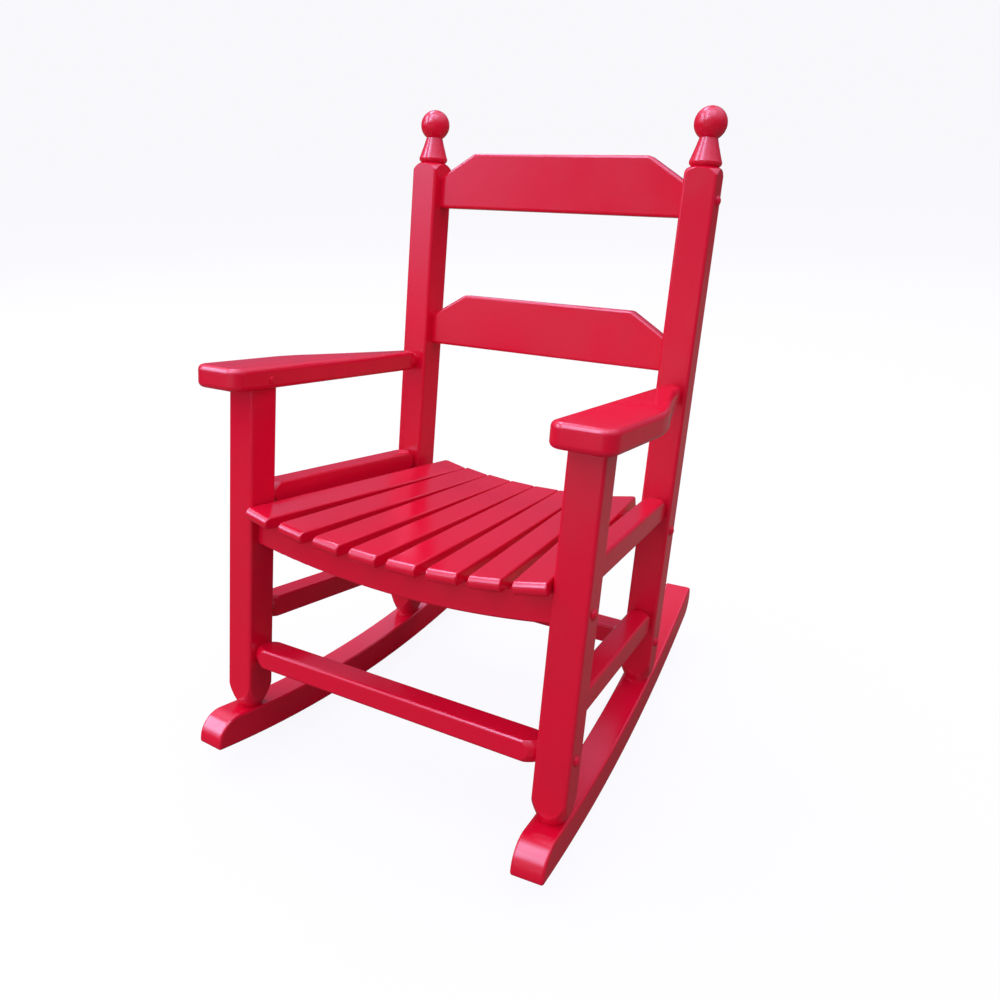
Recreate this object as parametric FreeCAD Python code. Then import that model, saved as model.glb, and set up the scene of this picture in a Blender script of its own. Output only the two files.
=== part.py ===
import FreeCAD, Part
import math
import os

Vector = FreeCAD.Vector

# A child's rocking chair: two glued side frames, bolted together by cross rails, with slats for a seat.
# Lengths are in millimetres and angles in degrees. The chair is set out upright, with its legs plumb:
# X runs across to the right, as seen from the front, Y runs back from the axis of the front legs and
# Z runs up from the lowest point of the rockers. At the end it leans back to where it balances.
# A side frame has a line of its own, from the leg back to the post, which toes in towards the rear.

# Side frames
leg_spread = 344.0
leg_to_post = 259.5
toe_angle = 4.7
rise_angle = 0.8

# Square stock of the legs and posts, with feet turned round
stock_size = 31.6
stock_edge = 3.0
foot_radius = 11.2
foot_height = 29.0
foot_swell_share = 0.6
foot_rise_share = 0.45

# Rockers
rocker_radius = 1100.0
rocker_depth = 30.8
rocker_thickness = 30.0
rocker_low_point = 10.0
rocker_front_reach = 53.5
rocker_rear_reach = 185.0
rocker_nose = 25.0
rocker_tip = 3.0
rocker_heel = 23.0
rocker_tail = 4.5
rocker_edge = 2.5

# Finial on the post, with heights above the corners of the shoulder
shoulder_height = 573.1
shoulder_mid_radius = 18.6
shoulder_mid_rise = 7.8
cove_radius = 12.7
cove_rise = 12.0
bead_turn_radius = 14.9
bead_turn_rise = 13.9
bead_radius = 15.3
bead_rise = 16.2
cone_mid_radius = 11.6
cone_mid_rise = 27.2
neck_radius = 8.6
neck_rise = 37.2
ball_radius = 15.4

# Arms, with overhangs from the axis of the leg and places of the bend in front of the post
arm_height = 368.5
arm_thickness = 20.8
arm_edge = 5.0
arm_front_reach = 45.0
arm_inner_overhang = 21.8
arm_outer_overhang = 33.0
arm_bend_start = 181.3
arm_bend_start_inset = 0.4
arm_bend_end = 131.3
arm_bend_end_inset = 10.1
arm_inner_rear_reach = 6.2
arm_outer_rear_reach = 10.3
arm_bend_bulge = 1.8
arm_sweep_bulge = 1.0
arm_corner = 13.0
arm_end_gap = 5.5
arm_end_length = 13.0
arm_tenon_radius = 8.0

# Rails and stretchers of a side frame
side_rail_height = 252.5
side_rail_width = 22.0
side_rail_depth = 22.0
side_stretcher_height = 132.7
side_stretcher_size = 22.8
side_edge = 3.0
tenon_radius = 7.0
tenon_length = 16.0
leg_tenon_length = 12.5
foot_tenon_length = 17.0

# Rounded ends that are turned on the square bars
round_end_radius = 8.8
round_end_length = 22.0
round_swell_share = 0.66
round_rise_share = 0.4

# Boards of the back, cut to one pattern
board_depth = 55.9
board_thickness = 15.0
board_setback = 10.5
board_edge = 3.0
board_clip_length = 37.7
board_end_depth = 33.2
board_corner = 9.0
crest_bottom = 538.7
back_slat_bottom = 392.3

# Seat rails, dished along an arc
seat_rail_depth = 28.5
seat_rail_thickness = 15.0
seat_rail_edge = 2.0
front_seat_rail_height = 222.4
rear_seat_rail_height = 230.8
front_dish_radius = 870.0
rear_dish_radius = 738.0

# Seat slats
slat_count = 8
slat_thickness = 12.0
slat_front_overhang = 28.0
slat_rear_overhang = 17.4
slat_leg_gap = 1.2
slat_front_gap = 10.6
slat_rear_gap = 1.6
slat_nose = 5.6
slat_edge = 1.8
slat_rear_corner = 1.2
slat_outer_corner = 4.5

# Front and rear stretchers
stretcher_width = 28.0
stretcher_depth = 20.6
stretcher_end_radius = 9.0
stretcher_end_length = 22.0
front_stretcher_height = 91.4
rear_stretcher_height = 105.8

# Frame bolts and their barrel nuts
bolt_radius = 3.0
bolt_head_radius = 5.0
bolt_head_rim = 1.6
bolt_head_height = 4.2
bolt_head_sink = 1.0
bolt_tip = 3.0
nut_radius = 5.0
nut_length = 12.0
nut_depth = 20.0

# Dowels and arm pins
dowel_radius = 3.0
dowel_reach = 14.0
dowel_offset = 9.0
pin_radius = 2.0
pin_length = 27.0
pin_head_radius = 3.4
pin_head_rim = 0.5
pin_head_height = 1.6
pin_drop = 2.0
slat_dowel_depth = 6.0
slat_dowel_bite = 6.0

# Fits and cutting
glue_gap = 0.1
seat_gap = 0.35
overrun = 5.0

# Densities in kilograms per cubic metre, for the balance on the rockers
wood_density = 650.0
steel_density = 7850.0
steepest_lean = 30.0
lean_steps = 40

toe = math.radians(toe_angle)
half_stock = stock_size / 2
stock_corner = math.hypot(half_stock, half_stock)
rocker_top_radius = rocker_radius - rocker_depth
post_y = leg_to_post * math.cos(toe)
post_front = post_y - half_stock
arm_underside = arm_height - arm_thickness / 2
board_y = post_front + board_setback + board_thickness / 2
across = Vector(1, 0, 0)
backward = Vector(0, 1, 0)
upward = Vector(0, 0, 1)
origin = Vector(0, 0, 0)


def side_line(y):
    """Distance out to the line of the right side frame, at a place Y."""
    return leg_spread / 2 - y * math.tan(toe)


def inner_face(y):
    """Distance out to the inner faces of the legs and posts, at a place Y."""
    return side_line(y) - half_stock / math.cos(toe)


def outer_face(y):
    """Distance out to the outer faces of the legs and posts, at a place Y."""
    return side_line(y) + half_stock / math.cos(toe)


def rocker_point(radius, along):
    """Point on an arc about the rocker's centre, at a distance along the side frame from the leg."""
    drop = math.sqrt(radius ** 2 - (along - rocker_low_point) ** 2)
    return Vector(0, along, rocker_radius - drop)


# Slats fill the space between the front legs, less their gaps
slat_width = (2 * (inner_face(0) - slat_leg_gap) + slat_front_gap) / slat_count - slat_front_gap


# Drawing and joining

def outline(start, *steps):
    """Closed face made of straight steps (end,) and arc steps (through, end)."""
    edges = []
    here = start
    closing = () if steps[-1][-1].isEqual(start, glue_gap) else ((start,),)
    for step in steps + closing:
        if len(step) == 1:
            curve = Part.LineSegment(here, step[0])
        else:
            curve = Part.Arc(here, step[0], step[1])
        edges.append(curve.toShape())
        here = step[-1]
    return Part.Face(Part.Wire(edges))


def rounded(board, point, radius):
    """Round the edge that passes nearest to a point."""
    near = Part.Vertex(point)
    edge = min(board.Edges, key=lambda item: item.distToShape(near)[0])
    return board.makeFillet(radius, [edge])


def slab(face, direction, thickness, rim, corners=()):
    """Board cut to a face in its middle plane, with (point, radius) corners and rounded rims."""
    board = face.translated(direction * (-thickness / 2)).extrude(direction * thickness)
    for point, radius in corners:
        board = rounded(board, point, radius)
    rims = []
    for edge in board.Edges:
        span = edge.lastVertex().Point - edge.firstVertex().Point
        if abs(span.dot(direction)) < thickness / 2:
            rims.append(edge)
    return board.makeFillet(rim, rims)


def turned(start, *steps):
    """Solid turned about Z from an outline in the XZ plane that begins and ends on the axis."""
    return outline(start, *steps).revolve(origin, upward, 360)


def square_bar(width, depth, length, edge):
    """Bar along Z from zero, centred on the axis, with its long edges rounded."""
    inner_x = width / 2 - edge
    inner_y = depth / 2 - edge
    lean_in = edge * math.sqrt(0.5)
    section = outline(
        Vector(width / 2, -inner_y, 0),
        (Vector(width / 2, inner_y, 0),),
        (Vector(inner_x + lean_in, inner_y + lean_in, 0), Vector(inner_x, depth / 2, 0)),
        (Vector(-inner_x, depth / 2, 0),),
        (Vector(-inner_x - lean_in, inner_y + lean_in, 0), Vector(-width / 2, inner_y, 0)),
        (Vector(-width / 2, -inner_y, 0),),
        (Vector(-inner_x - lean_in, -inner_y - lean_in, 0), Vector(-inner_x, -depth / 2, 0)),
        (Vector(inner_x, -depth / 2, 0),),
        (Vector(inner_x + lean_in, -inner_y - lean_in, 0), Vector(width / 2, -inner_y, 0)),
    )
    return section.extrude(upward * length)


def peg(radius, start, end):
    """Round bar along Z between two heights."""
    return Part.makeCylinder(radius, end - start, upward * start)


def domed_disc(radius, rim, height):
    """Disc on the XY plane with an upright rim and a domed top."""
    cap = height - rim
    sphere = (radius ** 2 + cap ** 2) / (2 * cap)
    half_angle = math.asin(radius / sphere) / 2
    through = Vector(sphere * math.sin(half_angle), 0, height - sphere + sphere * math.cos(half_angle))
    return turned(origin, (Vector(radius, 0, 0),), (Vector(radius, 0, rim),), (through, upward * height))


def turned_end(foot, end_radius, full_radius, length):
    """Through point and end of the arc that swells from a round end to the full bar, going up."""
    swell = end_radius + (full_radius - end_radius) * round_swell_share
    return Vector(swell, 0, foot + length * round_rise_share), Vector(full_radius, 0, foot + length)


def round_ended_bar(width, depth, length, end_radius, end_length):
    """Square bar along Z whose two ends are turned down to rounded ends."""
    full_radius = math.hypot(width, depth) / 2
    through, full = turned_end(0, end_radius, full_radius, end_length)
    top = upward * length
    blank = turned(
        origin,
        (Vector(end_radius, 0, 0),),
        (through, full),
        (Vector(full.x, 0, length - full.z),),
        (Vector(through.x, 0, length - through.z), Vector(end_radius, 0, length)),
        (top,),
    )
    return square_bar(width, depth, length, side_edge).common(blank)


def lay_back(shape):
    """Turn a piece made along Z so that it runs back along Y."""
    return shape.rotated(origin, across, -90)


def lay_across(shape):
    """Turn a piece made along Z so that it runs across along X."""
    return shape.rotated(origin, backward, 90)


def into_side(shape):
    """Move a piece from the middle plane to the right side frame, with its toe."""
    return shape.rotated(origin, upward, toe_angle).translated(across * (leg_spread / 2))


def raised(shape, height, rise=0.0):
    """Lift a piece to a height at the leg, with a rise towards the back."""
    return shape.rotated(origin, across, rise).translated(upward * height)


def mirrored(shape):
    """The same piece on the other side of the chair."""
    return shape.mirror(origin, across)


def both(shapes):
    """Pieces of the right side with their mirror images."""
    return list(shapes) + [mirrored(shape) for shape in shapes]


def whole(shape):
    """The single solid of a joined or cut piece."""
    return shape.removeSplitter().Solids[0]


# Fasteners of the right side; a gap makes the hole that the fastener fits

def frame_bolt(y, z, gap=0.0):
    """Domed bolt through a leg or post into the end of a cross rail."""
    seat = outer_face(y) - bolt_head_sink
    tip = inner_face(y) - nut_depth - nut_radius - bolt_tip
    shank = lay_across(peg(bolt_radius + gap, tip - gap, seat + bolt_head_rim))
    if gap:
        head = lay_across(peg(bolt_head_radius + gap, seat, seat + overrun))
    else:
        head = lay_across(domed_disc(bolt_head_radius, bolt_head_rim, bolt_head_height))
        head = head.translated(across * seat)
    return shank.fuse(head).translated(Vector(0, y, z))


def barrel_nut(y, z):
    """Cross nut that the bolt screws into, inside a rail."""
    place = Vector(inner_face(y) - nut_depth, y - nut_length / 2, z)
    nut = lay_back(peg(nut_radius, 0, nut_length)).translated(place)
    return nut.cut(frame_bolt(y, z, glue_gap))


def nut_hole(y, z, rear):
    """Hole for a barrel nut, open at the rear face of its rail."""
    start = y - nut_length / 2 - glue_gap
    hole = lay_back(peg(nut_radius + glue_gap, start, rear + overrun))
    return hole.translated(Vector(inner_face(y) - nut_depth, 0, z))


def dowel(y, z, gap=0.0):
    """Dowel between a post or leg and the end of a rail."""
    face = inner_face(y)
    pin = lay_across(peg(dowel_radius + gap, face - dowel_reach - gap, face + dowel_reach + gap))
    return pin.translated(Vector(0, y, z))


def arm_pin(gap=0.0):
    """Pin from the straight inner edge of the arm through the tenon of the leg."""
    front_inner, rear_inner = arm_edges()[0], arm_edges()[-1]
    share = arm_front_reach / (rear_inner.y - front_inner.y)
    start = front_inner.x + (rear_inner.x - front_inner.x) * share
    shank = lay_across(peg(pin_radius + gap, start - pin_head_rim, start + pin_length + gap))
    if not gap:
        head = lay_across(domed_disc(pin_head_radius, pin_head_rim, pin_head_height))
        shank = shank.fuse(head.rotated(origin, upward, 180).translated(across * start))
    return shank.translated(upward * (arm_height - pin_drop))


def dish_centre(rail_y, rail_height, radius):
    """Height of the centre of a seat rail's arc, from the height of the rail at its ends."""
    middle_radius = radius + seat_rail_depth / 2
    return rail_height + math.sqrt(middle_radius ** 2 - inner_face(rail_y) ** 2)


def dish_turn(shape, rail_y, rail_height, radius, place_x):
    """Set a piece that stands on the XY plane on the top of a dished rail, along its radius."""
    angle = math.degrees(math.asin(place_x / radius))
    centre = Vector(0, rail_y, dish_centre(rail_y, rail_height, radius))
    return shape.translated(Vector(0, rail_y, centre.z - radius)).rotated(centre, backward, -angle)


def slat_dowel(rail_y, rail_height, radius, place_x, gap=0.0):
    """Dowel between the top of a seat rail and a slat."""
    pin = peg(dowel_radius + gap, -slat_dowel_depth - gap, slat_dowel_bite + gap)
    return dish_turn(pin, rail_y, rail_height, radius, place_x)


# Where the fasteners sit: places Y and Z on the right side

board_bolt = (board_y, crest_bottom + board_end_depth / 2)
leg_bolts = [(0.0, front_seat_rail_height), (0.0, front_stretcher_height)]
post_bolts = [board_bolt, (post_y, rear_seat_rail_height), (post_y, rear_stretcher_height)]
leg_dowels = [(0.0, front_seat_rail_height - dowel_offset)]
back_slat_middle = back_slat_bottom + board_end_depth / 2
post_dowels = [
    (board_y, board_bolt[1] - dowel_offset),
    (board_y, back_slat_middle - dowel_offset),
    (board_y, back_slat_middle + dowel_offset),
    (post_y, rear_seat_rail_height - dowel_offset),
]
seat_rails = {
    "seat_front_rail": (0.0, front_seat_rail_height, front_dish_radius),
    "seat_rear_rail": (post_y, rear_seat_rail_height, rear_dish_radius),
}


def slat_places():
    """Places across of each slat of the right half, on the front rail and on the rear rail."""
    places = []
    for number in range(slat_count // 2):
        front = (number + 1 / 2) * (slat_front_gap + slat_width)
        rear = (number + 1 / 2) * (slat_rear_gap + slat_width)
        places.append((front, rear))
    return places


# Side frames

def side_tenon(start, end, radius, height, rise, gap=0.0):
    """Round tenon along a side frame, between two distances from the leg."""
    return raised(into_side(lay_back(peg(radius + gap, start - gap, end + gap))), height, rise)


def rail_tenon(height, rise, gap=0.0):
    """Tenons of both ends of a side rail or stretcher, as one round bar."""
    start = half_stock - tenon_length
    end = leg_to_post - half_stock + tenon_length
    return side_tenon(start, end, tenon_radius, height, rise, gap)


def side_rail(width, depth, height, rise):
    """Bar between a leg and its post, with rounded ends and round tenons."""
    length = leg_to_post - stock_size
    bar = round_ended_bar(width, depth, length, round_end_radius, round_end_length)
    bar = raised(into_side(lay_back(bar).translated(backward * half_stock)), height, rise)
    return whole(bar.fuse(rail_tenon(height, rise)))


def arm_tenon(gap=0.0):
    """Round tenon of the arm, in the post."""
    start = leg_to_post - half_stock - arm_end_length
    end = leg_to_post - half_stock + tenon_length
    return side_tenon(start, end, arm_tenon_radius, arm_height, rise_angle, gap)


def arm_edges():
    """Corners of an arm's plan: inner front, outer front, both ends of the bend, outer and inner rear."""
    outer = leg_spread / 2 + arm_outer_overhang
    return (
        Vector(leg_spread / 2 - arm_inner_overhang, -arm_front_reach, 0),
        Vector(outer, -arm_front_reach, 0),
        Vector(outer - arm_bend_start_inset, post_front - arm_bend_start, 0),
        Vector(outer - arm_bend_end_inset, post_front - arm_bend_end, 0),
        Vector(side_line(post_front) + arm_outer_rear_reach, post_front, 0),
        Vector(side_line(post_front) - arm_inner_rear_reach, post_front, 0),
    )


def bow(start, end, bulge):
    """Through point of an arc in the XY plane that bulges to the right of its chord."""
    chord = end - start
    return start + chord / 2 + Vector(chord.y, -chord.x, 0).normalize() * bulge


def arm_blank():
    """Arm before its rear end is turned: straight in front, drawn in to the post behind."""
    front_inner, front_outer, bend_start, bend_end, rear_outer, rear_inner = arm_edges()
    plan = outline(
        front_inner,
        (front_outer,),
        (bend_start,),
        (bow(bend_start, bend_end, arm_bend_bulge), bend_end),
        (bow(bend_end, rear_outer, -arm_sweep_bulge), rear_outer),
        (rear_inner,),
    )
    corners = [(front_inner, arm_corner), (front_outer, arm_corner)]
    return slab(plan, upward, arm_thickness, arm_edge, corners)


def arm():
    """Right arm, with its rear end turned round and tenoned into the post."""
    end = leg_to_post - half_stock - arm_end_gap
    full_radius = math.hypot(arm_thickness, arm_thickness) / 2
    through, full = turned_end(0, arm_tenon_radius, full_radius, arm_end_length)
    envelope = turned(
        upward * -leg_spread,
        (Vector(leg_spread, 0, -leg_spread),),
        (Vector(leg_spread, 0, end - full.z),),
        (Vector(full.x, 0, end - full.z),),
        (Vector(through.x, 0, end - through.z), Vector(arm_tenon_radius, 0, end)),
        (upward * end,),
    )
    shape = raised(arm_blank().common(into_side(lay_back(envelope))), arm_height, rise_angle)
    shape = shape.fuse(arm_tenon())
    return whole(shape.cut([leg_tenon(glue_gap), arm_pin(glue_gap)]))


def leg_tenon(gap=0.0):
    """Round tenon on top of a leg, in the arm."""
    top = arm_underside + leg_tenon_length + gap
    return into_side(peg(arm_tenon_radius + gap, arm_underside - overrun, top))


def foot_tenon(along, gap=0.0):
    """Round tenon under a foot, in the rocker."""
    top = rocker_point(rocker_top_radius, along).z
    tenon = peg(tenon_radius + gap, top - foot_tenon_length - gap, top + foot_height / 2)
    return into_side(tenon.translated(backward * along))


def square_stick(along, steps):
    """Square stock on a turned foot that is shaped to the rocker, turned to the steps at its top."""
    rocker_top = rocker_point(rocker_top_radius, along).z
    low = rocker_top - foot_radius
    swell = foot_radius + (stock_corner - foot_radius) * foot_swell_share
    blank = turned(
        upward * low,
        (Vector(foot_radius, 0, low),),
        (Vector(foot_radius, 0, rocker_top),),
        (Vector(swell, 0, rocker_top + foot_height * foot_rise_share),
         Vector(stock_corner, 0, rocker_top + foot_height)),
        *steps,
    )
    stick = square_bar(stock_size, stock_size, blank.BoundBox.ZMax, stock_edge)
    centre = Vector(-stock_size, rocker_low_point, rocker_radius)
    bed = Part.makeCylinder(rocker_top_radius, 2 * stock_size, centre, across)
    stick = stick.common(blank).translated(backward * along).common(bed)
    return into_side(stick).fuse(foot_tenon(along))


def front_leg():
    """Right front leg, from the rocker to the arm."""
    steps = ((Vector(stock_corner, 0, arm_height),), (upward * arm_height,))
    leg = square_stick(0, steps).cut(raised(arm_blank(), arm_height, rise_angle))
    leg = leg.fuse(leg_tenon())
    holes = [frame_bolt(y, z, glue_gap) for y, z in leg_bolts]
    holes += [dowel(y, z, glue_gap) for y, z in leg_dowels]
    holes += [arm_pin(glue_gap), rail_tenon(side_rail_height, rise_angle, glue_gap)]
    holes.append(rail_tenon(side_stretcher_height, 0.0, glue_gap))
    return whole(leg.cut(holes))


def finial_steps():
    """Profile of the post's top: lamb's-tongue shoulder, bead, cone, neck and ball."""
    neck_height = shoulder_height + neck_rise
    ball_height = neck_height + math.sqrt(ball_radius ** 2 - neck_radius ** 2)
    return (
        (Vector(stock_corner, 0, shoulder_height),),
        (Vector(shoulder_mid_radius, 0, shoulder_height + shoulder_mid_rise),
         Vector(cove_radius, 0, shoulder_height + cove_rise)),
        (Vector(bead_turn_radius, 0, shoulder_height + bead_turn_rise),
         Vector(bead_radius, 0, shoulder_height + bead_rise)),
        (Vector(cone_mid_radius, 0, shoulder_height + cone_mid_rise),
         Vector(neck_radius, 0, neck_height)),
        (Vector(ball_radius, 0, ball_height), upward * (ball_height + ball_radius)),
    )


def rear_post():
    """Right rear post, from the rocker to its ball finial."""
    holes = [frame_bolt(y, z, glue_gap) for y, z in post_bolts]
    holes += [dowel(y, z, glue_gap) for y, z in post_dowels]
    holes += [arm_tenon(glue_gap), rail_tenon(side_rail_height, rise_angle, glue_gap)]
    holes.append(rail_tenon(side_stretcher_height, 0.0, glue_gap))
    return whole(square_stick(leg_to_post, finial_steps()).cut(holes))


def rocker():
    """Right rocker, its front end rounded on top and its rear end rounded underneath."""
    tail_along = leg_to_post + rocker_rear_reach
    tail_turn = (tail_along - rocker_low_point) / rocker_radius
    toe_low = rocker_point(rocker_radius, -rocker_front_reach)
    toe_high = rocker_point(rocker_top_radius, -rocker_front_reach)
    tail_low = rocker_point(rocker_radius, tail_along)
    tail_high = rocker_point(rocker_top_radius, rocker_low_point + rocker_top_radius * tail_turn)
    profile = outline(
        toe_low,
        (rocker_point(rocker_radius, rocker_low_point), tail_low),
        (tail_high,),
        (rocker_point(rocker_top_radius, rocker_low_point), toe_high),
    )
    corners = [
        (toe_low, rocker_tip),
        (toe_high, rocker_nose),
        (tail_low, rocker_heel),
        (tail_high, rocker_tail),
    ]
    beam = into_side(slab(profile, across, rocker_thickness, rocker_edge, corners))
    return whole(beam.cut([foot_tenon(0, glue_gap), foot_tenon(leg_to_post, glue_gap)]))


# Cross rails

def between_frames():
    """Space between the two side frames, wide in front and narrow behind."""
    front = -stock_size
    rear = leg_to_post + stock_size
    plan = outline(
        Vector(-inner_face(front), front, 0),
        (Vector(inner_face(front), front, 0),),
        (Vector(inner_face(rear), rear, 0),),
        (Vector(-inner_face(rear), rear, 0),),
    )
    return plan.extrude(upward * (crest_bottom + board_depth + overrun))


def back_board(bottom, holes):
    """Board of the back, with clipped and softened upper corners."""
    top = bottom + board_depth
    end = inner_face(board_y)
    beyond = end + overrun
    slope = (board_depth - board_end_depth) / board_clip_length
    clip_low = top - slope * (beyond - end + board_clip_length)
    right_clip = Vector(end - board_clip_length, board_y, top)
    left_clip = Vector(board_clip_length - end, board_y, top)
    front = outline(
        Vector(-beyond, board_y, bottom),
        (Vector(beyond, board_y, bottom),),
        (Vector(beyond, board_y, clip_low),),
        (right_clip,),
        (left_clip,),
        (Vector(-beyond, board_y, clip_low),),
    )
    corners = [(right_clip, board_corner), (left_clip, board_corner)]
    board = slab(front, backward, board_thickness, board_edge, corners)
    return whole(board.common(between_frames()).cut(both(holes)))


def crest_rail():
    """Top board of the back, held by a bolt and a dowel at each end."""
    y, z = board_bolt
    holes = [frame_bolt(y, z, glue_gap), nut_hole(y, z, y + board_thickness / 2)]
    holes.append(dowel(*post_dowels[0], glue_gap))
    return back_board(crest_bottom, holes)


def lower_back_slat():
    """Lower board of the back, held by two dowels at each end."""
    return back_board(back_slat_bottom, [dowel(y, z, glue_gap) for y, z in post_dowels[1:3]])


def seat_rail(rail_y, rail_height, radius, places):
    """Dished rail under the slats, held by a bolt and a dowel at each end."""
    end = inner_face(rail_y) + overrun
    centre = dish_centre(rail_y, rail_height, radius)
    low_radius = radius + seat_rail_depth
    top_end = centre - math.sqrt(radius ** 2 - end ** 2)
    low_end = centre - math.sqrt(low_radius ** 2 - end ** 2)
    face = outline(
        Vector(-end, rail_y, low_end),
        (Vector(0, rail_y, centre - low_radius), Vector(end, rail_y, low_end)),
        (Vector(end, rail_y, top_end),),
        (Vector(0, rail_y, centre - radius), Vector(-end, rail_y, top_end)),
    )
    rail = slab(face, backward, seat_rail_thickness, seat_rail_edge).common(between_frames())
    holes = [slat_dowel(rail_y, rail_height, radius, place, glue_gap) for place in places]
    holes.append(frame_bolt(rail_y, rail_height, glue_gap))
    holes.append(nut_hole(rail_y, rail_height, rail_y + seat_rail_thickness / 2))
    holes.append(dowel(rail_y, rail_height - dowel_offset, glue_gap))
    return whole(rail.cut(both(holes)))


def cross_stretcher(rail_y, height):
    """Bar across between the two side frames near the rockers, bolted at its rounded ends."""
    half_length = inner_face(rail_y)
    length = 2 * (half_length + stretcher_end_radius * math.tan(toe))
    bar = round_ended_bar(
        stretcher_depth, stretcher_width, length, stretcher_end_radius, stretcher_end_length)
    bar = lay_across(bar.translated(upward * (-length / 2))).translated(Vector(0, rail_y, height))
    holes = [frame_bolt(rail_y, height, glue_gap)]
    holes.append(nut_hole(rail_y, height, rail_y + stretcher_width / 2))
    return whole(bar.common(between_frames()).cut(both(holes)))


def seat_slat(front_place, rear_place, outer_corner):
    """Slat of the right half, laid on both dished rails, with a rounded nose."""
    feet = []
    holes = []
    turns = []
    for rail, place in zip(seat_rails.values(), (front_place, rear_place)):
        rail_y, rail_height, radius = rail
        turn = math.asin(place / radius)
        seat = radius - seat_gap
        centre = dish_centre(rail_y, rail_height, radius)
        feet.append(Vector(seat * math.sin(turn), rail_y, centre - seat * math.cos(turn)))
        holes.append(slat_dowel(rail_y, rail_height, radius, place, glue_gap))
        turns.append(turn)
    along = feet[1] - feet[0]
    stretch = along.Length / along.y
    board = slat_board((post_y + slat_front_overhang + slat_rear_overhang) * stretch, outer_corner)
    board = board.translated(backward * (-slat_front_overhang * stretch))
    roll = sum(turns) / len(turns)
    flat = Vector(math.cos(roll), 0, math.sin(roll))
    board.Placement = FreeCAD.Placement(
        feet[0], FreeCAD.Rotation(flat, along, flat.cross(along), "YXZ")) * board.Placement
    return whole(board.cut(holes))


def slat_board(length, outer_corner):
    """Seat slat lying along Y from zero, with its rounded nose in front."""
    half_width = slat_width / 2
    board = Part.makeBox(slat_width, length, slat_thickness, across * -half_width)
    for side, radius in ((-half_width, slat_rear_corner), (half_width, outer_corner)):
        board = rounded(board, Vector(side, length, slat_thickness / 2), radius)
    for level in (0, slat_thickness):
        board = rounded(board, upward * level, slat_nose)
    rims = []
    for edge in board.Edges:
        span = edge.lastVertex().Point - edge.firstVertex().Point
        if abs(span.z) < slat_thickness / 2 and abs(span.x) < slat_width - slat_edge:
            rims.append(edge)
    return board.makeFillet(slat_edge, rims)


# Assembly

def fasteners():
    """Groups of like fasteners, both sides of the chair together."""
    bolts = leg_bolts + post_bolts
    slat_dowels = []
    for column, rail in enumerate(seat_rails.values()):
        slat_dowels += [slat_dowel(*rail, places[column]) for places in slat_places()]
    return {
        "frame_bolts": [frame_bolt(y, z) for y, z in bolts],
        "barrel_nuts": [barrel_nut(y, z) for y, z in bolts],
        "rail_dowels": [dowel(y, z) for y, z in leg_dowels + post_dowels],
        "arm_pins": [arm_pin()],
        "slat_dowels": slat_dowels,
    }


def chair():
    """All the pieces by name, upright."""
    sides = {
        "rocker": rocker(),
        "front_leg": front_leg(),
        "rear_post": rear_post(),
        "arm": arm(),
        "seat_side_rail": side_rail(side_rail_width, side_rail_depth, side_rail_height, rise_angle),
        "side_stretcher": side_rail(side_stretcher_size, side_stretcher_size,
                                    side_stretcher_height, 0.0),
    }
    pieces = {}
    for name, shape in sides.items():
        pieces[name + "_right"] = shape
        pieces[name + "_left"] = mirrored(shape)
    pieces["crest_rail"] = crest_rail()
    pieces["lower_back_slat"] = lower_back_slat()
    for column, (name, rail) in enumerate(seat_rails.items()):
        pieces[name] = seat_rail(*rail, [places[column] for places in slat_places()])
    pieces["front_stretcher"] = cross_stretcher(0.0, front_stretcher_height)
    pieces["rear_stretcher"] = cross_stretcher(post_y, rear_stretcher_height)
    middle = slat_count // 2
    for number, places in enumerate(slat_places()):
        outermost = number == middle - 1
        slat = seat_slat(*places, slat_outer_corner if outermost else slat_rear_corner)
        pieces["seat_slat_" + str(middle + 1 + number)] = slat
        pieces["seat_slat_" + str(middle - number)] = mirrored(slat)
    for name, group in fasteners().items():
        pieces[name] = Part.makeCompound(both(group))
    return pieces


steel_pieces = ("frame_bolts", "barrel_nuts", "arm_pins")


def resting_lean(pieces):
    """Angle at which the chair's weight stands over the place where its rockers touch the floor."""
    mass = 0
    moment = Vector()
    for name, shape in pieces.items():
        steel = name in steel_pieces
        for solid in shape.Solids:
            share = solid.Volume * (steel_density if steel else wood_density)
            moment += solid.CenterOfMass * share
            mass += share
    centre = moment / mass
    low = 0
    high = math.radians(steepest_lean)
    for step in range(lean_steps):
        lean = (low + high) / 2
        turn = math.atan(math.cos(toe) * math.tan(lean))
        touch_y = (rocker_low_point + rocker_radius * math.sin(turn)) * math.cos(toe)
        touch_z = rocker_radius * (1 - math.cos(turn))
        lever = (centre.y - touch_y) * math.cos(lean) + (centre.z - touch_z) * math.sin(lean)
        if lever > 0:
            low = lean
        else:
            high = lean
    return math.degrees(low)


def rested(pieces):
    """Lean the chair back to rest, stand it on the floor and centre it on the origin."""
    lean = resting_lean(pieces)
    leaned = {name: shape.rotated(origin, across, -lean) for name, shape in pieces.items()}
    box = FreeCAD.BoundBox()
    for shape in leaned.values():
        box.add(shape.optimalBoundingBox(False, False))
    move = Vector(-box.Center.x, -box.Center.y, -box.ZMin)
    print("The chair leans back by", round(lean, 2), "degrees")
    return {name: shape.translated(move) for name, shape in leaned.items()}


os.makedirs("parts", exist_ok=True)
for name, shape in rested(chair()).items():
    shape.exportStep("parts/" + name + ".step")
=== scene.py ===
import math

import bpy
import numpy as np
from bpy.props import FloatProperty, FloatVectorProperty, PointerProperty
from bpy.types import Operator, Panel, PropertyGroup
from mathutils import Matrix, Vector

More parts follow.
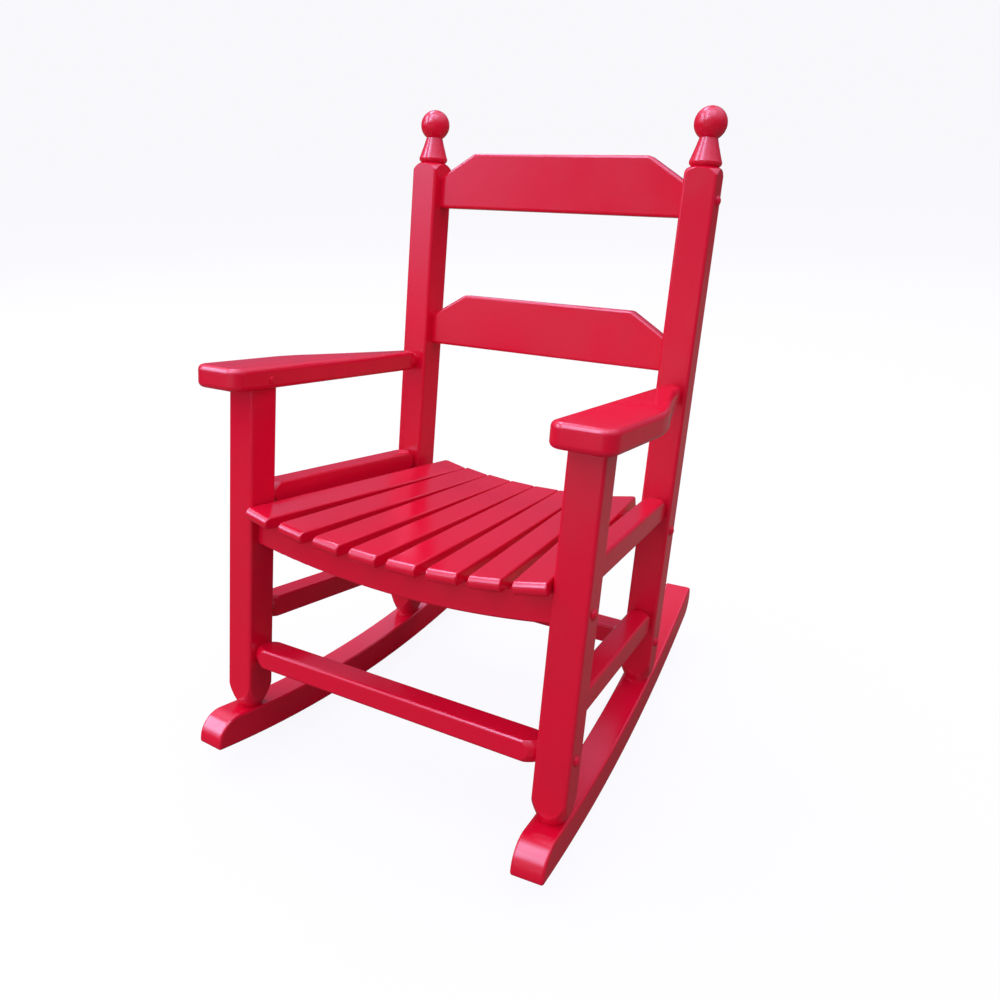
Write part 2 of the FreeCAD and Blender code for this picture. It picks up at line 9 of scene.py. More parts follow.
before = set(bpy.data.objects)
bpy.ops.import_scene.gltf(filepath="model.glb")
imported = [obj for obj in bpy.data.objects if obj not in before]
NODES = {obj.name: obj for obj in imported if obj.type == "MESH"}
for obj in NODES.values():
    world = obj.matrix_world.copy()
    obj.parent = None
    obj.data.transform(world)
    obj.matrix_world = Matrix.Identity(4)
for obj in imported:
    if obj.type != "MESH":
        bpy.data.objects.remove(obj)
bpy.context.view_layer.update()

bl_info = {
    "name": "Children's rocking chair",
    "version": (1, 0, 0),
    "blender": (4, 5, 0),
    "location": "3D View > Sidebar > Rocking chair",
    "description": "Paints the wooden rocking chair, finishes its fasteners and sets up a studio",
    "category": "Object",
}

# Pieces that share an operator

ROCKERS = ("rocker_left", "rocker_right")
LEGS = ("front_leg_left", "front_leg_right")
POSTS = ("rear_post_left", "rear_post_right")
ARMS = ("arm_left", "arm_right")
SIDE_RAILS = ("seat_side_rail_left", "seat_side_rail_right")
SIDE_STRETCHERS = ("side_stretcher_left", "side_stretcher_right")
CROSS_STRETCHERS = ("front_stretcher", "rear_stretcher")
SEAT_RAILS = ("seat_front_rail", "seat_rear_rail")
BACK_BOARDS = ("crest_rail", "lower_back_slat")
SEAT_SLATS = tuple(sorted(name for name in NODES if name.startswith("seat_slat_")))
PAINTED_STEEL = ("frame_bolts", "arm_pins")
PLATED_STEEL = ("barrel_nuts",)
DOWELS = ("rail_dowels", "slat_dowels")


# Settings that a user would change

class ChairPaint(PropertyGroup):
    colour: FloatVectorProperty(
        name="Colour", description="Red of the paint on flat faces",
        subtype="COLOR", size=3, min=0.0, max=1.0, default=(0.66, 0.002, 0.027))
    thin_colour: FloatVectorProperty(
        name="Thin colour", description="Red where the film is thin, on eased edges",
        subtype="COLOR", size=3, min=0.0, max=1.0, default=(0.72, 0.005, 0.036))
    deep_colour: FloatVectorProperty(
        name="Deep colour", description="Red where the film has pooled",
        subtype="COLOR", size=3, min=0.0, max=1.0, default=(0.55, 0.001, 0.018))
    roughness: FloatProperty(
        name="Roughness", description="Roughness of the clean film",
        subtype="FACTOR", min=0.0, max=1.0, default=0.19)
    edge_width: FloatProperty(
        name="Edge width", description="How far the thin film reaches from an edge",
        subtype="DISTANCE", unit="LENGTH", min=0.0, default=0.0012)
    peel_depth: FloatProperty(
        name="Peel depth", description="Height of the orange peel that spraying leaves",
        subtype="DISTANCE", unit="LENGTH", precision=6, min=0.0, default=0.000005)
    grain_depth: FloatProperty(
        name="Grain depth", description="Height of the wood grain that shows through the film",
        subtype="DISTANCE", unit="LENGTH", precision=6, min=0.0, default=0.000005)


class ChairStage(PropertyGroup):
    floor_bounce: FloatProperty(
        name="Floor bounce", description="Share of its light that the floor sends back to the chair",
        subtype="FACTOR", min=0.0, max=1.0, default=0.19)
    floor_mirrored: FloatVectorProperty(
        name="Mirrored floor", description="Warm colour of the floor that the paint mirrors",
        subtype="COLOR", size=3, min=0.0, max=1.0, default=(0.135, 0.106, 0.092))
    floor_shade: FloatProperty(
        name="Floor shade",
        description="Share of its light that the camera sees, which shows the shadows",
        subtype="FACTOR", min=0.0, max=1.0, default=0.06)
    floor_glow: FloatProperty(
        name="Floor glow", description="How far the camera sees the floor lifted towards white",
        min=0.0, default=0.943)
    backdrop_colour: FloatVectorProperty(
        name="Backdrop colour", description="Pale colour that the camera sees behind the chair",
        subtype="COLOR", size=3, min=0.0, max=1.0, default=(0.975, 0.968, 1.0))
    backdrop_glow: FloatProperty(
        name="Backdrop glow", description="Brightness that the camera sees above the floor",
        min=0.0, default=0.968)
    room_light: FloatProperty(
        name="Room light", description="Strength of the soft light from all round",
        min=0.0, default=0.433)
    shine_colour: FloatVectorProperty(
        name="Shine colour", description="Colour of the daylight that the paint mirrors",
        subtype="COLOR", size=3, min=0.0, max=2.0, default=(0.52, 1.0, 1.55))
    shine_low: FloatProperty(
        name="Low shine", description="Brightness of the mirrored room near the horizon",
        min=0.0, default=0.154)
    shine_high: FloatProperty(
        name="High shine", description="Brightness that the mirrored room gains overhead",
        min=0.0, default=1.68)
    lens: FloatProperty(
        name="Lens", description="Focal length on a sensor 36 mm wide",
        subtype="DISTANCE_CAMERA", min=1.0, default=33.114)
    camera_place: FloatVectorProperty(
        name="Camera place", description="Place of the camera, in the chair's frame",
        subtype="TRANSLATION", unit="LENGTH", size=3, default=(0.4247, -0.7598, 0.6047))
    camera_yaw: FloatProperty(
        name="Camera yaw", description="How far the camera is turned to the left of straight ahead",
        subtype="ANGLE", unit="ROTATION", default=math.radians(31.348))
    camera_dip: FloatProperty(
        name="Camera dip", description="How far the camera looks down",
        subtype="ANGLE", unit="ROTATION", default=math.radians(24.221))
    camera_roll: FloatProperty(
        name="Camera roll", description="How far the camera is rolled about its own axis",
        subtype="ANGLE", unit="ROTATION", default=math.radians(-1.045))
    framing: FloatVectorProperty(
        name="Framing", description="Shift of the picture to the side and up, in picture widths",
        size=2, default=(0.0461, 0.0226))


# Node trees

def add(tree, kind, place, **settings):
    """New shader node at a place in the tree, with its properties set."""
    node = tree.nodes.new(kind)
    node.location = place
    for name, value in settings.items():
        setattr(node, name, value)
    return node


def fill(node, **values):
    """Set a node's inputs by name, with a space for each underline."""
    for name, value in values.items():
        node.inputs[name.replace("_", " ")].default_value = value
    return node


def new_group(name, inputs, outputs):
    """Empty node group with typed sockets, and its input and output nodes."""
    tree = bpy.data.node_groups.new(name, "ShaderNodeTree")
    for socket, kind, default in inputs:
        made = tree.interface.new_socket(name=socket, in_out="INPUT", socket_type=kind)
        if default is not None:
            made.default_value = default
    for socket, kind in outputs:
        tree.interface.new_socket(name=socket, in_out="OUTPUT", socket_type=kind)
    source = add(tree, "NodeGroupInput", (-900, 0))
    sink = add(tree, "NodeGroupOutput", (700, 0))
    return tree, source.outputs, sink.inputs


def noise(tree, vector, place, scale, detail=2.0, roughness=0.5):
    """Noise texture on a vector socket."""
    texture = fill(add(tree, "ShaderNodeTexNoise", place), Detail=detail, Roughness=roughness)
    if isinstance(scale, float):
        texture.inputs["Scale"].default_value = scale
    else:
        tree.links.new(scale, texture.inputs["Scale"])
    tree.links.new(vector, texture.inputs["Vector"])
    return texture.outputs["Fac"]


def maths(tree, operation, first, second, place):
    """Math node on two values, each a socket or a number."""
    node = add(tree, "ShaderNodeMath", place, operation=operation)
    for socket, value in zip(node.inputs, (first, second)):
        if isinstance(value, bpy.types.NodeSocket):
            tree.links.new(value, socket)
        else:
            socket.default_value = value
    return node.outputs["Value"]


def remap(tree, value, low, high, place, to_low=0.0, to_high=1.0):
    """Smooth step of a value between two limits, brought to new limits."""
    node = add(tree, "ShaderNodeMapRange", place, interpolation_type="SMOOTHSTEP")
    fill(node, From_Min=low, From_Max=high, To_Min=to_low, To_Max=to_high)
    tree.links.new(value, node.inputs["Value"])
    return node.outputs["Result"]


def blend_colours(tree, mask, first, second, place):
    """Mix of two colours by a mask, each colour a socket or a plain value."""
    node = add(tree, "ShaderNodeMix", place, data_type="RGBA")
    sockets = [socket for socket in node.inputs if socket.type == "RGBA"]
    for socket, value in zip(sockets, (first, second)):
        if isinstance(value, bpy.types.NodeSocket):
            tree.links.new(value, socket)
        else:
            socket.default_value = (*value, 1.0)
    tree.links.new(mask, node.inputs[0])
    return next(socket for socket in node.outputs if socket.type == "RGBA")


# Effects that several materials use

def grain_group():
    """Wood grain as a height, along Z of the vector that comes in."""
    tree, given, out = new_group(
        "Wood grain",
        [("Vector", "NodeSocketVector", None), ("Lines per metre", "NodeSocketFloat", 420.0)],
        [("Height", "NodeSocketFloat")])
    drawn_out = 0.03
    swells_per_metre = 70.0
    swell_share = 0.8
    stretch = add(tree, "ShaderNodeMapping", (-650, 0))
    stretch.inputs["Scale"].default_value = (1.0, 1.0, drawn_out)
    tree.links.new(given["Vector"], stretch.inputs["Vector"])
    fine = noise(tree, stretch.outputs["Vector"], (-400, 120), given["Lines per metre"], 4.0, 0.62)
    broad = noise(tree, stretch.outputs["Vector"], (-400, -120), swells_per_metre, 2.0)
    lines = remap(tree, fine, 0.36, 0.64, (-180, 120))
    swell = maths(tree, "MULTIPLY", broad, swell_share, (-180, -120))
    total = maths(tree, "ADD", lines, swell, (120, 0))
    tree.links.new(total, out["Height"])
    return tree


def film_group():
    """Sprayed film: orange peel as a height, and cloudy patches and specks as masks."""
    tree, given, out = new_group(
        "Sprayed film",
        [("Vector", "NodeSocketVector", None), ("Peel per metre", "NodeSocketFloat", 320.0)],
        [("Height", "NodeSocketFloat"), ("Clouds", "NodeSocketFloat"),
         ("Specks", "NodeSocketFloat")])
    specks_per_metre = 120.0
    speck_size = 0.075
    speck_height = 1.6
    patches_per_metre = 45.0
    clouds_per_metre = 14.0
    peel = noise(tree, given["Vector"], (-500, 200), given["Peel per metre"], 2.0, 0.5)
    dust = add(tree, "ShaderNodeTexVoronoi", (-500, -60))
    dust.inputs["Scale"].default_value = specks_per_metre
    tree.links.new(given["Vector"], dust.inputs["Vector"])
    nib = remap(tree, dust.outputs["Distance"], 0.0, speck_size, (-260, -60), 1.0, 0.0)
    chance = noise(tree, given["Vector"], (-500, -320), patches_per_metre, 1.0)
    some = remap(tree, chance, 0.60, 0.66, (-260, -320))
    specks = maths(tree, "MULTIPLY", nib, some, (-20, -180))
    raised = maths(tree, "MULTIPLY", specks, speck_height, (180, -60))
    height = maths(tree, "ADD", peel, raised, (380, 120))
    cloud = noise(tree, given["Vector"], (-500, -560), clouds_per_metre, 4.0, 0.55)
    clouds = remap(tree, cloud, 0.34, 0.68, (-260, -560))
    tree.links.new(height, out["Height"])
    tree.links.new(clouds, out["Clouds"])
    tree.links.new(specks, out["Specks"])
    return tree


def edge_group():
    """Mask of convex and concave edges within a width, broken up by a vector."""
    tree, given, out = new_group(
        "Eased edges",
        [("Width", "NodeSocketFloat", 0.002), ("Vector", "NodeSocketVector", None)],
        [("Edges", "NodeSocketFloat")])
    least_turn, most_turn = 0.998, 0.90
    patches_per_metre = 60.0
    faintest = 0.35
    bevel = add(tree, "ShaderNodeBevel", (-650, 120), samples=6)
    tree.links.new(given["Width"], bevel.inputs["Radius"])
    surface = add(tree, "ShaderNodeNewGeometry", (-650, -80))
    spread = add(tree, "ShaderNodeVectorMath", (-420, 60), operation="DOT_PRODUCT")
    tree.links.new(bevel.outputs["Normal"], spread.inputs[0])
    tree.links.new(surface.outputs["Normal"], spread.inputs[1])
    turned = remap(tree, spread.outputs["Value"], most_turn, least_turn, (-200, 60), 1.0, 0.0)
    uneven = noise(tree, given["Vector"], (-420, -240), patches_per_metre, 3.0)
    patches = remap(tree, uneven, 0.30, 0.62, (-200, -240), faintest, 1.0)
    tree.links.new(maths(tree, "MULTIPLY", turned, patches, (80, 0)), out["Edges"])
    return tree


def place_group(tree, name, place, maker):
    """Group node for a named group, which is made the first time it is asked for."""
    group = bpy.data.node_groups.get(name) or maker()
    return add(tree, "ShaderNodeGroup", place, node_tree=group)


# Materials

# How far the deep colour shows in the clouds, what the clouds take from and give to the paint's
# roughness, and what a speck of dust adds to it
POOLED = 0.22
GLOSSIER = 0.03
DULLER = 0.05
SPECK_DULLNESS = 0.15

# Metals and bare wood: light and dark colours
ZINC = (0.72, 0.72, 0.74)
DARK_ZINC = (0.60, 0.61, 0.64)
BEECH = (0.78, 0.60, 0.40)
BEECH_FLECKS = (0.62, 0.43, 0.25)
ZINC_GRAIN_PER_METRE = 900.0
ZINC_GRAIN_DEPTH = 0.000010
BEECH_LINES_PER_METRE = 900.0
BEECH_GRAIN_DEPTH = 0.00006


def grain_turn(piece):
    """Turn that brings the longest way of a piece to Z, so that its grain runs along it."""
    points = np.array([vertex.co for vertex in piece.data.vertices])
    spread, axes = np.linalg.eigh(np.cov((points - points.mean(axis=0)).T))
    longest = Vector(axes[:, spread.argmax()])
    return longest.rotation_difference(Vector((0.0, 0.0, 1.0))).to_euler()


def new_material(name, turn):
    """Empty material with its output, its surface shader and turned coordinates."""
    material = bpy.data.materials.new(name)
    material.use_nodes = True
    tree = material.node_tree
    tree.nodes.clear()
    output = add(tree, "ShaderNodeOutputMaterial", (900, 0))
    surface = add(tree, "ShaderNodeBsdfPrincipled", (600, 0))
    tree.links.new(surface.outputs["BSDF"], output.inputs["Surface"])
    place = add(tree, "ShaderNodeTexCoord", (-900, 0))
    mapping = add(tree, "ShaderNodeMapping", (-700, 0))
    mapping.inputs["Rotation"].default_value = turn
    tree.links.new(place.outputs["Object"], mapping.inputs["Vector"])
    return material, tree, surface, mapping.outputs["Vector"]


def bumped(tree, height, distance, place, before=None):
    """Bump node for a height of a real depth, on top of an earlier normal."""
    bump = add(tree, "ShaderNodeBump", place)
    bump.inputs["Distance"].default_value = distance
    tree.links.new(height, bump.inputs["Height"])
    if before:
        tree.links.new(before, bump.inputs["Normal"])
    return bump.outputs["Normal"]


def paint_material(name, turn, paint, grain_share=1.0):
    """Red paint: thin on the eased edges, cloudy on flats, with peel, nibs and grain under it."""
    material, tree, surface, vector = new_material(name, turn)
    film = place_group(tree, "Sprayed film", (-420, 120), film_group)
    grain = place_group(tree, "Wood grain", (-420, -120), grain_group)
    edge = place_group(tree, "Eased edges", (-420, -320), edge_group)
    for effect in (film, grain, edge):
        tree.links.new(vector, effect.inputs["Vector"])
    edge.inputs["Width"].default_value = paint.edge_width
    patchy = remap(tree, film.outputs["Clouds"], 0.0, 1.0, (-160, 320), 0.0, POOLED)
    body = blend_colours(tree, patchy, paint.colour, paint.deep_colour, (40, 320))
    colour = blend_colours(tree, edge.outputs["Edges"], body, paint.thin_colour, (260, 320))
    gloss = remap(tree, film.outputs["Clouds"], 0.0, 1.0, (-160, 40),
                  paint.roughness - GLOSSIER, paint.roughness + DULLER)
    dulled = maths(tree, "MULTIPLY", film.outputs["Specks"], SPECK_DULLNESS, (40, 40))
    tree.links.new(maths(tree, "ADD", gloss, dulled, (260, 40)), surface.inputs["Roughness"])
    tree.links.new(colour, surface.inputs["Base Color"])
    under = bumped(tree, grain.outputs["Height"], paint.grain_depth * grain_share, (40, -180))
    top = bumped(tree, film.outputs["Height"], paint.peel_depth, (260, -180), under)
    tree.links.new(top, surface.inputs["Normal"])
    fill(surface, IOR=1.5)
    return material


def plate_material(name):
    """Bright zinc plate with a faint crystalline grain."""
    material, tree, surface, vector = new_material(name, (0.0, 0.0, 0.0))
    film = place_group(tree, "Sprayed film", (-420, 120), film_group)
    film.inputs["Peel per metre"].default_value = ZINC_GRAIN_PER_METRE
    tree.links.new(vector, film.inputs["Vector"])
    shade = blend_colours(tree, film.outputs["Clouds"], ZINC, DARK_ZINC, (40, 200))
    tree.links.new(shade, surface.inputs["Base Color"])
    tree.links.new(remap(tree, film.outputs["Clouds"], 0.0, 1.0, (40, 0), 0.26, 0.40),
                   surface.inputs["Roughness"])
    crystals = bumped(tree, film.outputs["Height"], ZINC_GRAIN_DEPTH, (260, -180))
    tree.links.new(crystals, surface.inputs["Normal"])
    fill(surface, Metallic=1.0)
    return material


def bare_wood_material(name, turn):
    """Unpainted beech dowel with short dark flecks along the grain."""
    material, tree, surface, vector = new_material(name, turn)
    grain = place_group(tree, "Wood grain", (-420, 0), grain_group)
    grain.inputs["Lines per metre"].default_value = BEECH_LINES_PER_METRE
    tree.links.new(vector, grain.inputs["Vector"])
    tone = remap(tree, grain.outputs["Height"], 0.2, 1.4, (-160, 120))
    shade = blend_colours(tree, tone, BEECH_FLECKS, BEECH, (60, 120))
    tree.links.new(shade, surface.inputs["Base Color"])
    tree.links.new(remap(tree, tone, 0.0, 1.0, (60, -60), 0.62, 0.5), surface.inputs["Roughness"])
    pores = bumped(tree, grain.outputs["Height"], BEECH_GRAIN_DEPTH, (260, -180))
    tree.links.new(pores, surface.inputs["Normal"])
    return material


def coat(piece, material):
    """Give a frame piece its finish, in every slot of its mesh."""
    if not piece.data.materials:
        piece.data.materials.append(material)
    for number in range(len(piece.data.materials)):
        piece.data.materials[number] = material


def paint_pieces(names, context):
    """Paint pieces of wood, each with the grain along its own length."""
    for name in names:
        piece = NODES[name]
        coat(piece, paint_material("paint_" + name, grain_turn(piece), context.scene.chair_paint))


# Operators

class PaintRockers(Operator):
    """Paint the two curved rockers"""
    bl_idname = "rocking_chair.paint_rockers"
    bl_label = "Paint rockers"

    def execute(self, context):
        paint_pieces(ROCKERS, context)
        return {"FINISHED"}


class PaintLegs(Operator):
    """Paint the two front legs"""
    bl_idname = "rocking_chair.paint_legs"
    bl_label = "Paint front legs"

    def execute(self, context):
        paint_pieces(LEGS, context)
        return {"FINISHED"}


class PaintPosts(Operator):
    """Paint the two rear posts with their ball finials"""
    bl_idname = "rocking_chair.paint_posts"
    bl_label = "Paint rear posts"

    def execute(self, context):
        paint_pieces(POSTS, context)
        return {"FINISHED"}


class PaintArms(Operator):
    """Paint the two arms"""
    bl_idname = "rocking_chair.paint_arms"
    bl_label = "Paint arms"

    def execute(self, context):
        paint_pieces(ARMS, context)
        return {"FINISHED"}


class PaintBackBoards(Operator):
    """Paint the crest rail and the lower board of the back"""
    bl_idname = "rocking_chair.paint_back_boards"
    bl_label = "Paint back boards"

    def execute(self, context):
        paint_pieces(BACK_BOARDS, context)
        return {"FINISHED"}


class PaintSideBars(Operator):
    """Paint the rails and stretchers of the side frames"""
    bl_idname = "rocking_chair.paint_side_bars"
    bl_label = "Paint side bars"

    def execute(self, context):
        paint_pieces(SIDE_RAILS + SIDE_STRETCHERS, context)
        return {"FINISHED"}


class PaintCrossBars(Operator):
    """Paint the dished seat rails and the two cross stretchers"""
    bl_idname = "rocking_chair.paint_cross_bars"
    bl_label = "Paint cross bars"

    def execute(self, context):
        paint_pieces(SEAT_RAILS + CROSS_STRETCHERS, context)
        return {"FINISHED"}


class PaintSeatSlats(Operator):
    """Paint the eight slats of the seat"""
    bl_idname = "rocking_chair.paint_seat_slats"
    bl_label = "Paint seat slats"

    def execute(self, context):
        paint_pieces(SEAT_SLATS, context)
        return {"FINISHED"}


class FinishFasteners(Operator):
    """Paint the bolt and pin heads over, plate the barrel nuts and leave the dowels bare"""
    bl_idname = "rocking_chair.finish_fasteners"
    bl_label = "Finish fasteners"

    def execute(self, context):
        for name in PAINTED_STEEL:
            coat(NODES[name], paint_material("paint_" + name, (0.0, 0.0, 0.0),
                                             context.scene.chair_paint, grain_share=0.0))
        for name in PLATED_STEEL:
            coat(NODES[name], plate_material("zinc_" + name))
        for name in DOWELS:
            coat(NODES[name], bare_wood_material("bare_" + name, (0.0, math.radians(90.0), 0.0)))
        return {"FINISHED"}


# Broad soft lights: name, azimuth from the front and elevation, width and height as angles seen from
# the chair, all in degrees, and brightness
SOFT_LIGHTS = (
    ("overhead", 0.0, 88.0, 80.0, 70.0, 0.95),
    ("front_left", -45.0, 38.0, 45.0, 40.0, 0.72),
    ("front", 0.0, 28.0, 45.0, 40.0, 0.86),
    ("left", -100.0, 38.0, 45.0, 40.0, 2.48),
    ("right", 105.0, 38.0, 45.0, 40.0, 0.98),
    ("back", 180.0, 42.0, 50.0, 40.0, 1.0),
    ("low_front", -15.0, 4.0, 60.0, 12.0, 2.8),
)
LIGHT_DISTANCE = 3.0
FLOOR_RADIUS = 12.0

# Height of a direction, as the sine of its elevation, from which the mirrored room grows brighter
SHINE_START = 0.224
LIGHT_COLOUR = (0.90, 0.95, 1.10)
AIM = Vector((0.0, 0.0, 0.3))

# Windows that the paint mirrors: name, azimuth, elevation, width, height, roll and softness of the
# edges in degrees, and brightness. The last one is a dark corner of the room.
WINDOWS = (
    ("slanted_left", -63.0, 36.0, 42.0, 13.0, -37.0, 6.0, 9.0),
    ("tall_left", -34.0, 57.0, 14.0, 50.0, 28.0, 5.0, 6.0),
    ("narrow_left", -24.0, 38.0, 11.0, 28.0, 0.0, 5.0, 5.0),
    ("wide_front", -7.0, 44.0, 22.0, 22.0, 0.0, 6.0, 2.8),
    ("skylight", 5.0, 78.0, 50.0, 40.0, 0.0, 9.0, 3.0),
    ("slanted_back", -129.0, 51.0, 28.0, 9.0, 35.0, 3.0, 8.0),
    ("low_strip", -55.0, 16.0, 42.0, 2.0, 0.0, 15.0, 5.6),
    ("dark_corner", -166.0, 47.0, 12.0, 26.0, 0.0, 4.0, -1.1),
)


def tangent(degrees):
    """Tangent of an angle in degrees."""
    return math.tan(math.radians(degrees))


def heading(azimuth, elevation):
    """Direction from the chair at an azimuth from the front and an elevation, in degrees."""
    azimuth, elevation = math.radians(azimuth), math.radians(elevation)
    return Vector((math.sin(azimuth) * math.cos(elevation),
                   -math.cos(azimuth) * math.cos(elevation), math.sin(elevation)))


def soft_light(name, azimuth, elevation, width, height, brightness):
    """Broad light of an angular size and place, turned to the chair and kept out of reflections."""
    away = heading(azimuth, elevation)
    data = bpy.data.lights.new(name, "AREA")
    data.shape = "RECTANGLE"
    data.size = 2.0 * LIGHT_DISTANCE * tangent(width / 2.0)
    data.size_y = 2.0 * LIGHT_DISTANCE * tangent(height / 2.0)
    data.energy = 4.0 * brightness * data.size * data.size_y
    data.color = LIGHT_COLOUR
    light = bpy.data.objects.new(name, data)
    bpy.context.scene.collection.objects.link(light)
    light.matrix_world = (Matrix.Translation(AIM + away * LIGHT_DISTANCE)
                          @ away.to_track_quat("Z", "Y").to_matrix().to_4x4())
    light.visible_camera = False
    light.visible_glossy = False


def window_group():
    """Soft-edged rectangle as a mask over directions, with its middle turned to Y."""
    tree, given, out = new_group(
        "Soft window",
        [("Direction", "NodeSocketVector", None), ("Turn", "NodeSocketVector", None),
         ("Half width", "NodeSocketFloat", 0.3), ("Half height", "NodeSocketFloat", 0.3),
         ("Softness", "NodeSocketFloat", 0.1)],
        [("Mask", "NodeSocketFloat")])
    turned = add(tree, "ShaderNodeMapping", (-700, 0))
    tree.links.new(given["Direction"], turned.inputs["Vector"])
    tree.links.new(given["Turn"], turned.inputs["Rotation"])
    parts = add(tree, "ShaderNodeSeparateXYZ", (-520, 0))
    tree.links.new(turned.outputs["Vector"], parts.inputs["Vector"])
    mask = maths(tree, "GREATER_THAN", parts.outputs["Y"], 0.05, (-340, -300))
    for axis, half, height in (("X", "Half width", 200), ("Z", "Half height", -60)):
        ratio = maths(tree, "DIVIDE", parts.outputs[axis], parts.outputs["Y"], (-340, height))
        reach = maths(tree, "ABSOLUTE", ratio, 0.0, (-180, height))
        edge = add(tree, "ShaderNodeMapRange", (140, height), interpolation_type="SMOOTHSTEP")
        fill(edge, To_Min=1.0, To_Max=0.0)
        tree.links.new(reach, edge.inputs["Value"])
        for operation, limit in (("SUBTRACT", "From Min"), ("ADD", "From Max")):
            bound = maths(tree, operation, given[half], given["Softness"], (-20, height))
            tree.links.new(bound, edge.inputs[limit])
        mask = maths(tree, "MULTIPLY", mask, edge.outputs["Result"], (340, height))
    tree.links.new(mask, out["Mask"])
    return tree


def place_window(tree, direction, settings, place):
    """Brightness of one mirrored window over directions."""
    name, azimuth, elevation, width, height, roll, softness, brightness = settings
    middle = heading(azimuth, elevation)
    level = Vector((math.cos(math.radians(azimuth)), math.sin(math.radians(azimuth)), 0.0))
    side = Matrix.Rotation(math.radians(roll), 3, middle) @ level
    turn = Matrix((side, middle, side.cross(middle))).to_euler()
    window = place_group(tree, "Soft window", place, window_group)
    window.label = name
    fill(window, Turn=turn, Half_width=tangent(width / 2.0), Half_height=tangent(height / 2.0),
         Softness=tangent(softness))
    tree.links.new(direction, window.inputs["Direction"])
    return maths(tree, "MULTIPLY", window.outputs["Mask"], brightness, (place[0] + 200, place[1]))


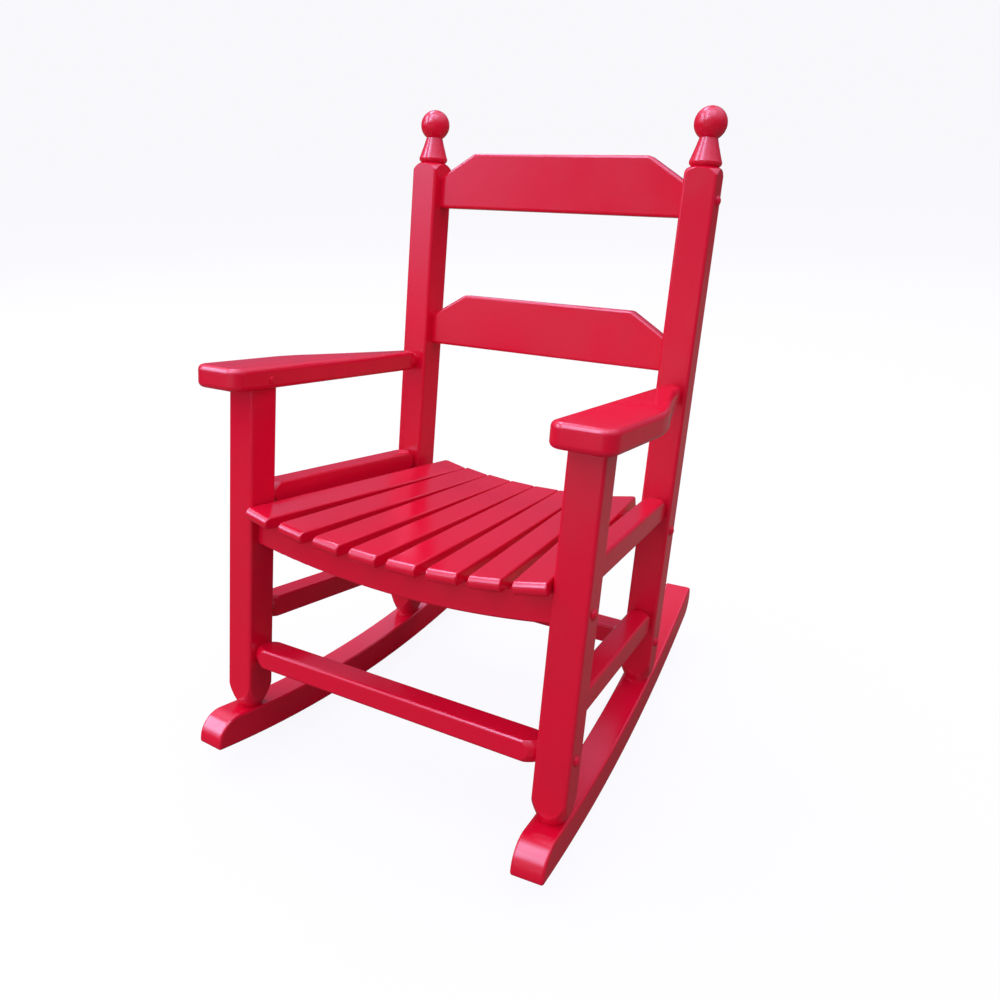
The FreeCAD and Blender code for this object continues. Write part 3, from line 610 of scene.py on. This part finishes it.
class SetStage(Operator):
    """Lay a pale floor, light the room softly and stand the camera where the photograph was taken"""
    bl_idname = "rocking_chair.set_stage"
    bl_label = "Set stage"

    def execute(self, context):
        stage = context.scene.chair_stage
        self.lay_floor(stage)
        self.light_room(stage)
        self.stand_camera(stage)
        context.scene.view_settings.view_transform = "Standard"
        return {"FINISHED"}

    def lay_floor(self, stage):
        """Wide round floor at the height of the rockers' lowest point, pale to the camera."""
        bpy.ops.mesh.primitive_circle_add(
            vertices=96, radius=FLOOR_RADIUS, fill_type="NGON", location=(0, 0, 0))
        floor = bpy.context.active_object
        floor.name = "floor"
        material = bpy.data.materials.new("pale_floor")
        material.use_nodes = True
        tree = material.node_tree
        surface = tree.nodes["Principled BSDF"]
        fill(surface, Roughness=0.9, Specular_IOR_Level=0.0,
             Emission_Color=(*stage.backdrop_colour, 1.0))
        rays = add(tree, "ShaderNodeLightPath", (-700, 0))
        shade, bounce = (
            [value * channel for channel in stage.backdrop_colour]
            for value in (stage.floor_shade, stage.floor_bounce))
        colour = blend_colours(
            tree, rays.outputs["Is Glossy Ray"], shade, stage.floor_mirrored, (-400, 260))
        colour = blend_colours(tree, rays.outputs["Is Diffuse Ray"], colour, bounce, (-200, 100))
        tree.links.new(colour, surface.inputs["Base Color"])
        glow = maths(tree, "MULTIPLY", rays.outputs["Is Camera Ray"], stage.floor_glow, (-400, -200))
        tree.links.new(glow, surface.inputs["Emission Strength"])
        floor.data.materials.append(material)

    def light_room(self, stage):
        """Soft light from all round, the broad lights, and the windows that the paint mirrors."""
        world = bpy.data.worlds.new("room")
        world.use_nodes = True
        # Only mirrored rays see the windows, so the room isn't sampled as a lamp
        world.cycles.sampling_method = "NONE"
        tree = world.node_tree
        plain = fill(tree.nodes["Background"], Color=(*stage.backdrop_colour, 1.0))
        shine = fill(add(tree, "ShaderNodeBackground", (0, -300)), Color=(*stage.shine_colour, 1.0))
        rays = add(tree, "ShaderNodeLightPath", (-1100, 300))
        seen = maths(
            tree, "MULTIPLY", rays.outputs["Is Camera Ray"], stage.backdrop_glow, (-800, 400))
        lit = maths(tree, "MULTIPLY", rays.outputs["Is Diffuse Ray"], stage.room_light, (-800, 240))
        tree.links.new(maths(tree, "ADD", seen, lit, (-600, 300)), plain.inputs["Strength"])
        direction = add(tree, "ShaderNodeTexCoord", (-1500, -300)).outputs["Generated"]
        parts = add(tree, "ShaderNodeSeparateXYZ", (-1300, -100))
        tree.links.new(direction, parts.inputs["Vector"])
        total = remap(tree, parts.outputs["Z"], SHINE_START, 1.0, (-1100, -100),
                      stage.shine_low, stage.shine_low + stage.shine_high)
        for number, settings in enumerate(WINDOWS):
            window = place_window(tree, direction, settings, (-1100, -400 - 220 * number))
            total = maths(tree, "ADD", total, window, (-600, -200 - 220 * number))
        total = maths(tree, "MAXIMUM", total, 0.0, (-450, -300))
        mirrored = maths(tree, "MULTIPLY", rays.outputs["Is Glossy Ray"], total, (-300, -300))
        tree.links.new(mirrored, shine.inputs["Strength"])
        both = add(tree, "ShaderNodeAddShader", (200, 0))
        tree.links.new(plain.outputs["Background"], both.inputs[0])
        tree.links.new(shine.outputs["Background"], both.inputs[1])
        tree.links.new(both.outputs["Shader"], tree.nodes["World Output"].inputs["Surface"])
        bpy.context.scene.world = world
        for settings in SOFT_LIGHTS:
            soft_light(*settings)

    def stand_camera(self, stage):
        """Camera with the photograph's place, turn, lens and framing."""
        data = bpy.data.cameras.new("photo_camera")
        data.sensor_width = 36.0
        data.lens = stage.lens
        data.shift_x, data.shift_y = stage.framing
        data.clip_start = 0.01
        data.clip_end = 50.0
        camera = bpy.data.objects.new("photo_camera", data)
        bpy.context.scene.collection.objects.link(camera)
        camera.matrix_world = (
            Matrix.Translation(stage.camera_place)
            @ Matrix.Rotation(stage.camera_yaw, 4, "Z")
            @ Matrix.Rotation(math.radians(90.0) - stage.camera_dip, 4, "X")
            @ Matrix.Rotation(stage.camera_roll, 4, "Z"))
        bpy.context.scene.camera = camera


OPERATORS = (
    PaintRockers, PaintLegs, PaintPosts, PaintArms, PaintBackBoards, PaintSideBars, PaintCrossBars,
    PaintSeatSlats, FinishFasteners, SetStage,
)


class ChairPanel(Panel):
    """Panel with the settings of the chair and a button for each step"""
    bl_idname = "VIEW3D_PT_rocking_chair"
    bl_label = "Rocking chair"
    bl_space_type = "VIEW_3D"
    bl_region_type = "UI"
    bl_category = "Rocking chair"

    def draw(self, context):
        for group in (context.scene.chair_paint, context.scene.chair_stage):
            box = self.layout.box()
            for name in group.__annotations__:
                box.prop(group, name)
        for operator in OPERATORS:
            self.layout.operator(operator.bl_idname)


CLASSES = (ChairPaint, ChairStage, *OPERATORS, ChairPanel)


def register():
    for item in CLASSES:
        bpy.utils.register_class(item)
    bpy.types.Scene.chair_paint = PointerProperty(type=ChairPaint)
    bpy.types.Scene.chair_stage = PointerProperty(type=ChairStage)


def unregister():
    del bpy.types.Scene.chair_stage
    del bpy.types.Scene.chair_paint
    for item in reversed(CLASSES):
        bpy.utils.unregister_class(item)


def main():
    """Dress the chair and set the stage."""
    register()
    for operator in OPERATORS:
        group, name = operator.bl_idname.split(".")
        getattr(getattr(bpy.ops, group), name)()


if __name__ == "__main__":
    main()
